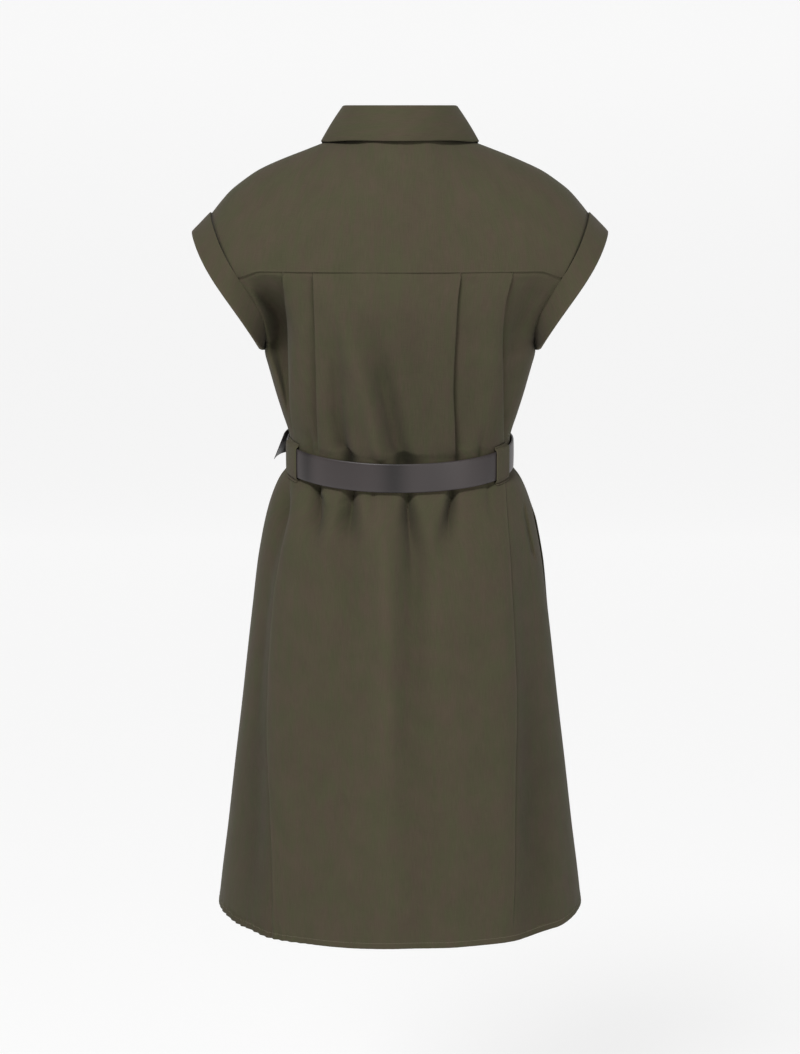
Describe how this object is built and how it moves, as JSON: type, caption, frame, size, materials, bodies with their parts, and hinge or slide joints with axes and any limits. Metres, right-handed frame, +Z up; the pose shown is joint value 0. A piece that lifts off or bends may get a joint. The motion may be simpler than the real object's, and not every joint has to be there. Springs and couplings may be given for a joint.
{
  "type": "belted shirt dress",
  "caption": "Olive shirt dress with cap sleeves, turned-up cuffs, a back yoke with pleats, a pointed collar and a dark buckled belt.",
  "frame": {"origin": "midway between the side neck points, at the height where the shoulder line meets the neck, on the plane of the side seams", "axes": "+Z up; +X to the wearer's left; +Y to the back, so the closed front faces -Y"},
  "size_m": [0.4886, 0.3123, 0.9767],
  "materials": {
    "dress_cloth": "matt",
    "pocket_cloth": "matt",
    "belt_skin": "satin",
    "button": "satin",
    "buckle_metal": "satin"
  },
  "bodies": {
    "root": {"back": "dress_cloth", "yoke": "dress_cloth", "front_left": "dress_cloth", "front_right": "dress_cloth", "placket": "dress_cloth", "collar_stand": "dress_cloth", "collar_fall": "dress_cloth", "cuff_left": "dress_cloth", "cuff_right": "dress_cloth", "belt": "belt_skin", "belt_tail": "belt_skin", "buckle_frame": "buckle_metal", "buckle_prong": "buckle_metal", "belt_loop_left": "dress_cloth", "belt_loop_right": "dress_cloth", "button_1": "button", "button_2": "button", "button_3": "button", "button_4": "button", "button_5": "button", "button_6": "button", "button_7": "button", "button_8": "button", "button_collar": "button", "pocket_left": "pocket_cloth", "pocket_right": "pocket_cloth"}
  },
  "joints": []
}
